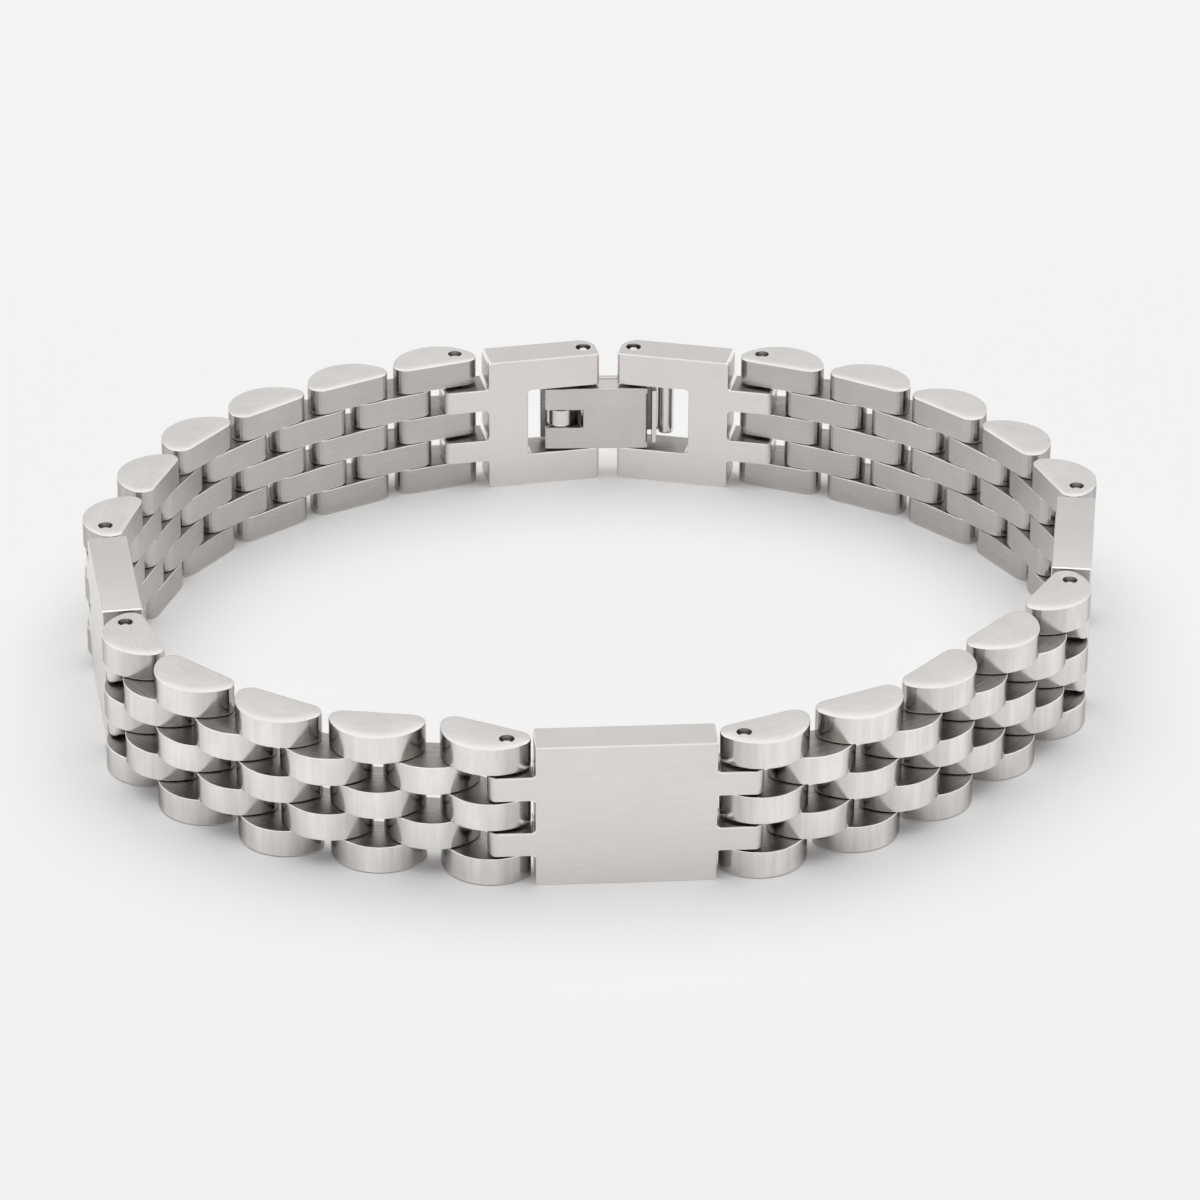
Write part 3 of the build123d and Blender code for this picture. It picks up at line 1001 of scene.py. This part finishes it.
@dataclass
class EndPlates:
    """The two C-shaped plates that hold the clasp's bars."""

    band: Band
    loop: Loop
    dresser: Dresser
    length: float = 8.25
    thickness: float = 2.7
    bar_inset: float = 1.4
    bar_margin: float = 0.95
    hinge_run: float = 9.38
    hinge_lift: float = 0.75
    tab_reach: float = 0.99
    tab_play: float = 0.02
    tab_lap: float = 0.3
    tab_root: float = 0.25
    tab_level: float = 0.1
    tab_round: float = 0.26
    tab_margin: float = 0.001
    nose_stretch: float = 0.2
    tab_corner: float = 0.5
    outer_radius: float = 1.42
    inner_radius: float = 0.3
    window_height: float = 5.1
    window_depth: float = 5.33
    window_corner: float = 0.3
    recess_radius: float = 0.55
    recess_depth: float = 0.6
    bar_radius: float = 0.39
    bar_sink: float = 0.1
    bar_sides: int = 24
    edge: float = 0.08
    plan_edge: float = 1.2
    hinge_corner: float = 0.25
    plan_steps: int = 9
    level_steps: int = 7

    @property
    def tilt(self) -> float:
        """Degrees between the plate's flat face and the line of its pivots."""
        return math.degrees(math.atan2(self.hinge_lift, self.hinge_run))

    @property
    def nose(self) -> float:
        """Reach of the tabs from the bar."""
        return self.hinge_run + self.tab_reach + self.nose_stretch

    def face_shape(self) -> Blank:
        """Makes the left plate's C shape with its tabs, seen face on and raised."""
        far = self.length - self.bar_margin
        near = self.bar_margin
        deep = near - self.window_depth
        low = (self.band.width - self.window_height) / 2
        top = self.band.width
        tabs = self.band.tabbed_side(far, self.nose)
        face = Blank()
        face.rounded(
            [
                (-far, 0, self.hinge_corner),
                (near, 0, self.edge),
                (near, low, self.edge),
                (deep, low, self.window_corner),
                (deep, top - low, self.window_corner),
                (near, top - low, self.edge),
                (near, top, self.edge),
                (-far, top, self.hinge_corner),
                *[(-x, z, radius) for x, z, radius in reversed(tabs)],
            ],
            ROUND_STEPS,
        )
        face.close(0, self.thickness)
        face.soften(self.edge)
        face.stand(self.thickness - self.bar_inset)
        return face

    def side_shape(self) -> Blank:
        """Makes the left plate's plan with its rounded free end, a little proud elsewhere."""
        spare = self.edge / 2
        outer = self.thickness - self.bar_inset
        lift = self.hinge_lift + self.tab_reach
        plan = Blank()
        plan.rounded(
            [
                (-self.nose, -self.bar_inset, self.tab_corner),
                (0, -self.bar_inset - spare, 0),
                (self.bar_margin, -self.bar_inset, self.inner_radius),
                (self.bar_margin, outer, self.outer_radius),
                (-self.bar_margin, outer + spare, 0),
                (-self.nose, lift, self.tab_reach),
            ],
            self.plan_steps,
        )
        over = self.edge / 4
        plan.close(-over, self.band.width + over + over)
        plan.soften(self.edge * self.plan_edge)
        return plan

    def build(self) -> None:
        """Builds both plates and their bars."""
        sides = (
            ("left_end_plate", "clasp_catch_bar", 1),
            ("right_end_plate", "clasp_anchor_bar", -1),
        )
        for name, bar_name, hand in sides:
            first, second = self.loop.ends(name)
            bar, hinge = (second, first) if hand > 0 else (first, second)
            plane = self.loop.plane(bar, hand * (bar - hinge), hand * self.tilt)
            piece = self.plate(name, hand)
            self.dresser.dress(piece, plane, PLATE_FINISH, name, "satin_steel", [name], 0.0)
            rod = self.band.bar(bar_name, 0, self.bar_radius, self.bar_sink, self.bar_sides)
            self.dresser.dress(rod, plane, PIN_FINISH, name, "pin_steel", [bar_name])

    def plate(self, name: str, hand: int) -> bpy.types.Object:
        """Makes one end plate with its tabs and recesses.

        Args:
            name: The plate's name.
            hand: 1 for the left plate and -1 for the right.

        Returns:
            The plate in its own plane.
        """
        piece = self.face_shape().object(name + "_steel")
        carved(piece, self.side_shape(), "INTERSECT")
        whole = Blank()
        whole.mesh.from_mesh(piece.data)
        bpy.data.objects.remove(piece)
        gap = self.band.tab_gap
        rises = [self.band.base(row) + gap + self.tab_play for row in self.band.tab_rows]
        whole.add(self.tab(), *rises)
        if hand < 0:
            whole.mirror()
        piece = whole.object(name + "_steel")
        top = self.band.width
        drill = Blank()
        for low, high in ((-BEYOND, self.recess_depth), (top - self.recess_depth, top + BEYOND)):
            drill.rod(0, 0, self.recess_radius, low, high, self.band.bore_sides)
        carved(piece, drill)
        return piece

    def tab(self) -> Blank:
        """Makes the round part of a left tab, drawn towards positive x and turned at last."""
        reach = self.tab_reach - self.tab_play / 2
        side_x = self.hinge_run + reach
        level_y = self.bar_inset - self.tab_level
        root_x = self.length - self.bar_margin - self.tab_lap
        root_y = self.bar_inset + self.tab_root - self.thickness
        tab = Blank()
        tab.line((root_x, root_y), (self.hinge_run, -self.hinge_lift - reach))
        tab.arc(self.hinge_run, -self.hinge_lift, 90, self.plan_steps)
        tab.line((side_x, level_y - self.tab_corner))
        tab.arc(side_x - self.tab_corner, level_y - self.tab_corner, 90, self.level_steps)
        tab.line((root_x, level_y))
        tab.close(0, self.band.piece_height - 2 * self.band.tab_gap - 2 * self.tab_play)
        least = self.hinge_run - self.tab_margin
        nose = [e for e in sharp_edges(tab.mesh) if all(v.co.x > least for v in e.verts)]
        tab.soften(self.tab_round, ROUND_STEPS, nose)
        tab.soften(self.edge)
        tab.turn(Matrix.Rotation(math.pi, 4, "Z"))
        return tab


@dataclass
class Clasp:
    """The leaf, which is a channel, and the cover that shuts over it."""

    band: Band
    loop: Loop
    dresser: Dresser
    height: float = 4.8
    spacing: float = 3.68
    tail: float = 2.8
    end: float = 4.67
    inner_y: float = -1.7
    sheet: float = 0.45
    sheet_edge: float = 0.07
    wall: float = 0.4
    wall_edge: float = 0.05
    wall_lap: float = 0.05
    wall_top: float = 0.06
    wall_end: float = -0.35
    play: float = 0.02
    margin: float = 0.01
    tail_radius: float = 1.4
    tail_steps: int = 9
    end_radius: float = 0.25
    lug_radius: float = 0.7
    slot_half: float = 0.5
    slot_steps: int = 12
    notch_end: float = -0.03
    notch_height: float = 1.4
    cover_low: float = 0.25
    cover_high: float = 0.75
    cover_edge: float = 0.1
    cover_lap: float = 0.1
    cover_tail: float = 3.13
    cover_wide_end: float = 2.86
    cover_narrow_height: float = 3.76
    lip_start: float = 5.0
    lip_end: float = 5.37
    lip_y: float = -1.5
    lip_height: float = 4.3
    thumb_x: float = 6.09
    thumb_radius: float = 0.58
    thumb_sheet: float = 0.5
    thumb_lap: float = 0.3
    thumb_sides: int = 32
    knuckle_x: float = -1.68
    knuckle_y: float = -0.75
    knuckle_radius: float = 0.95
    knuckle_height: float = 1.3
    knuckle_edge: float = 0.08
    knuckle_steps: int = 30
    cover_pin_radius: float = 0.3
    cover_pin_sides: int = 16

    @property
    def low(self) -> float:
        """Height of the leaf's lower edge."""
        return (self.band.width - self.height) / 2

    @property
    def middle(self) -> float:
        """Height of the band's middle."""
        return self.band.width / 2

    def floor(self) -> Blank:
        """Makes the leaf's flat sheet with its notch."""
        low = self.low
        high = self.band.width - low
        notch_low = (self.band.width - self.notch_height) / 2
        notch_high = self.band.width - notch_low
        sheet = Blank()
        sheet.line(
            (-self.tail, low),
            (self.end, low),
            (self.end, high),
            (-self.tail, high),
            (-self.tail, notch_high),
            (self.notch_end, notch_high),
            (self.notch_end, notch_low),
            (-self.tail, notch_low),
        )
        sheet.close(0, self.sheet)
        sheet.stand(self.inner_y + self.sheet)
        x, y = self.end - self.margin, self.inner_y + self.margin
        inner_end = [
            edge
            for edge in sharp_edges(sheet.mesh)
            if all(v.co.x > x and v.co.y < y for v in edge.verts)
        ]
        sheet.soften(self.end_radius, ROUND_STEPS, inner_end)
        sheet.soften(self.sheet_edge)
        return sheet

    def side_wall(self) -> Blank:
        """Makes one side wall of the leaf with its slot and lug."""
        foot = self.inner_y + self.wall_lap
        lug_end = self.spacing - self.lug_radius - self.wall_lap
        tail_x = self.tail_radius - self.tail
        top, half = self.wall_top, self.slot_half
        wall = Blank()
        wall.line((-self.tail, foot), (self.end, foot), (self.end, self.wall_end))
        wall.line((self.spacing + self.lug_radius, 0))
        wall.arc(self.spacing, 0, 180, self.slot_steps)
        wall.line((lug_end, top), (half, top), (half, 0))
        wall.arc(0, 0, -180, self.slot_steps)
        wall.line((-half, top), (tail_x, top))
        wall.arc(tail_x, top - self.tail_radius, 90, self.tail_steps)
        wall.close(0, self.wall)
        wall.soften(self.wall_edge)
        return wall

    def leaf(self) -> bpy.types.Object:
        """Makes the whole leaf in the clasp's plane."""
        upper = self.low + self.height - self.wall - self.play
        whole = Blank()
        whole.add(self.floor(), 0)
        whole.add(self.side_wall(), self.low + self.play, upper)
        return whole.object("clasp_leaf_steel")

    def cover_sheet(self) -> Blank:
        """Makes the cover's outer sheet, wide at the tail and narrow at the lip."""
        wide, narrow = self.height / 2, self.cover_narrow_height / 2
        side = (
            (-self.cover_tail, wide),
            (self.cover_wide_end, wide),
            (self.cover_wide_end, narrow),
            (self.lip_end, narrow),
        )
        sheet = Blank()
        sheet.line(*[(x, self.middle - half) for x, half in side])
        sheet.line(*[(x, self.middle + half) for x, half in reversed(side)])
        sheet.close(0, self.cover_high - self.cover_low)
        sheet.stand(self.cover_high)
        sheet.soften(self.cover_edge)
        return sheet

    def lip_and_thumb(self) -> Blank:
        """Makes the lip over the leaf's end and the thumb tab."""
        middle, narrow, lip = self.middle, self.cover_narrow_height / 2, self.lip_height / 2
        lip_outer = self.cover_high - self.cover_lap
        thumb_inner = self.cover_high - self.thumb_sheet
        shape = Blank()
        shape.block(
            (self.lip_start, self.lip_y, middle - lip),
            (self.lip_end - self.play, lip_outer, middle + lip),
        )
        shape.block(
            (self.lip_end - self.thumb_lap, thumb_inner, middle - narrow + self.play),
            (self.thumb_x, self.cover_high, middle + narrow - self.play),
        )
        shape.soften(self.cover_edge, edges=shape.mesh.edges[:])
        return shape

    def thumb_edge(self) -> Blank:
        """Makes the rolled edge that the thumb lifts."""
        narrow = self.cover_narrow_height / 2
        low, high = self.middle - narrow, self.middle + narrow
        y = self.cover_high - self.thumb_radius
        edge = Blank()
        edge.rod(self.thumb_x, y, self.thumb_radius, low, high, self.thumb_sides)
        edge.soften(self.cover_edge)
        return edge

    def knuckle(self) -> Blank:
        """Makes the rolled knuckle with its neck."""
        low = (self.band.width - self.knuckle_height) / 2
        left = self.knuckle_x - self.knuckle_radius
        neck_y = self.cover_high - self.cover_lap
        roll = Blank()
        roll.line((left, neck_y), (left, self.knuckle_y))
        roll.arc(self.knuckle_x, self.knuckle_y, 270, self.knuckle_steps)
        roll.line((self.knuckle_x, neck_y))
        roll.close(low, self.knuckle_height)
        roll.soften(self.knuckle_edge)
        return roll

    def build(self) -> None:
        """Builds the leaf, the cover and its pin."""
        first, second = self.loop.ends("clasp_leaf")
        plane = self.loop.plane(first, second - first)
        leaf = self.leaf()
        self.dresser.dress(leaf, plane, SHEET_FINISH, "clasp_leaf", "clasp_steel", ["clasp_leaf"])
        whole = Blank()
        for shape in (self.lip_and_thumb(), self.thumb_edge(), self.knuckle()):
            whole.add(shape, 0)
        names = ["clasp_cover"]
        rolled = whole.object("clasp_cover_rolls_steel")
        self.dresser.dress(rolled, plane, ROLL_FINISH, "clasp_cover", "clasp_steel", names)
        cover = self.cover_sheet().object("clasp_cover_steel")
        self.dresser.dress(cover, plane, COVER_FINISH, "clasp_cover", "clasp_steel", names)
        low = self.low + self.wall_lap
        top = self.band.width - self.low - self.wall_lap
        radius, sides = self.cover_pin_radius, self.cover_pin_sides
        rod = Blank()
        rod.rod(self.knuckle_x, self.knuckle_y, radius, low, top, sides)
        pin = rod.object("clasp_cover_pin_steel")
        names = ["clasp_cover_pin"]
        self.dresser.dress(pin, plane, PIN_FINISH, "clasp_leaf", "pin_steel", names)


@dataclass
class Studio:
    """Pale floor, soft light and the camera."""

    camera_place: Triple = (0.488, -329.445, 175.755)
    elevation: float = 27.482
    roll: float = 0.301
    lens: float = 162.37
    sensor: float = 36.0
    nearest: float = 0.01
    farthest: float = 20.0
    pale: float = 0.888
    ceiling: float = 1.3
    fade_start: float = 0.47
    fade_end: float = 0.66
    floor_half: float = 4.0
    floor_tone: Triple = (0.89, 0.89, 0.89)
    floor_lift: float = 0.08
    sky_light: float = 0.42
    lamp_power: float = 41.8
    lamp_size: float = 3.0
    lamp_place: Triple = (-0.03, 0.3, 1.8)

    def floor(self) -> None:
        """Lays the pale floor, whose shadows are lifted a little where they are seen."""
        grid = Blank()
        bmesh.ops.create_grid(grid.mesh, x_segments=1, y_segments=1, size=self.floor_half)
        ground = grid.object("floor")
        matt = bpy.data.materials.new("floor_matt")
        matt.use_nodes = True
        tree = matt.node_tree
        shader = tree.nodes["Principled BSDF"]
        tone = (*self.floor_tone, 1)
        fill(tree, shader, {"Base Color": tone, "Roughness": 1.0, "Specular IOR Level": 0.0})
        pale = add(tree, "Emission", {"Color": tone})[0]
        lift = {0: self.seen_directly(tree), 1: self.floor_lift}
        part = add(tree, "Math", lift, operation="MULTIPLY")[0]
        mix = add(tree, "MixShader", {0: part, 1: shader.outputs[0], 2: pale})[0]
        fill(tree, tree.nodes["Material Output"], {"Surface": mix})
        ground.data.materials.append(matt)

    def seen_directly(self, tree: Tree) -> Socket:
        """Adds a switch for the rays that see the backdrop, straight or in the steel.

        Args:
            tree: The node tree to add it to.

        Returns:
            The switch's value, 1 for camera, glossy and transmission rays.
        """
        rays = add(tree, "LightPath", {})
        seen = rays["Is Camera Ray"]
        for kind in ("Is Glossy Ray", "Is Transmission Ray"):
            seen = add(tree, "Math", {0: seen, 1: rays[kind]}, operation="MAXIMUM")[0]
        return seen

    def sky(self) -> None:
        """Sets the even light all round, which shows as the pale backdrop.

        What is seen in the steel is pale at the height of the eye and brighter above it.
        """
        world = bpy.data.worlds.new("studio")
        bpy.context.scene.world = world
        world.use_nodes = True
        tree = world.node_tree
        tree.nodes.clear()
        place = add(tree, "TexCoord", {})["Generated"]
        inputs = {
            "Value": add(tree, "SeparateXYZ", {0: place})["Z"],
            "From Min": self.fade_start,
            "From Max": self.fade_end,
            "To Min": self.pale,
            "To Max": self.ceiling,
        }
        fade = add(tree, "MapRange", inputs, interpolation_type="SMOOTHSTEP")[0]
        seen = add(tree, "Background", {"Color": fade})[0]
        light = add(tree, "Background", {"Strength": self.sky_light})[0]
        mix = add(tree, "MixShader", {0: self.seen_directly(tree), 1: light, 2: seen})[0]
        add(tree, "OutputWorld", {"Surface": mix})

    def lamp(self) -> None:
        """Hangs the soft box over the bracelet.

        The steel mirrors the even sky instead of it, so that no level face is washed out.
        """
        data = bpy.data.lights.new("soft_box", "AREA")
        data.shape = "SQUARE"
        data.size = self.lamp_size
        data.energy = self.lamp_power
        lamp = bpy.data.objects.new("soft_box", data)
        lamp.visible_glossy = False
        bpy.context.scene.collection.objects.link(lamp)
        place = Vector(self.lamp_place)
        lamp.location = place
        lamp.rotation_euler = (-place).to_track_quat("-Z", "Y").to_euler()

    def camera(self) -> None:
        """Stands the camera where the photograph was taken from."""
        data = bpy.data.cameras.new("camera")
        data.sensor_fit = "HORIZONTAL"
        data.sensor_width = self.sensor
        data.lens = self.lens
        data.clip_start = self.nearest
        data.clip_end = self.farthest
        camera = bpy.data.objects.new("camera", data)
        bpy.context.scene.collection.objects.link(camera)
        tilt = Matrix.Rotation(math.radians(90 - self.elevation), 4, "X")
        roll = Matrix.Rotation(math.radians(self.roll), 4, "Z")
        place = Matrix.Translation(Vector(self.camera_place) * MM)
        camera.matrix_world = place @ tilt @ roll
        bpy.context.scene.camera = camera

    def build(self) -> None:
        """Builds the floor, the light and the camera."""
        self.floor()
        self.sky()
        self.lamp()
        self.camera()
        bpy.context.scene.view_settings.view_transform = "Standard"


def main() -> None:
    """Builds the bracelet in order and sets its studio."""
    logging.basicConfig(level=logging.INFO, format="%(name)s: %(message)s")
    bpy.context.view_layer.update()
    band, loop = Band(), Loop()
    dresser = Dresser(band)
    for part in (
        Links(band, loop, dresser),
        FlatPlates(band, loop, dresser),
        EndPlates(band, loop, dresser),
        Clasp(band, loop, dresser),
        Studio(),
    ):
        part.build()


if __name__ == "__main__":
    main()
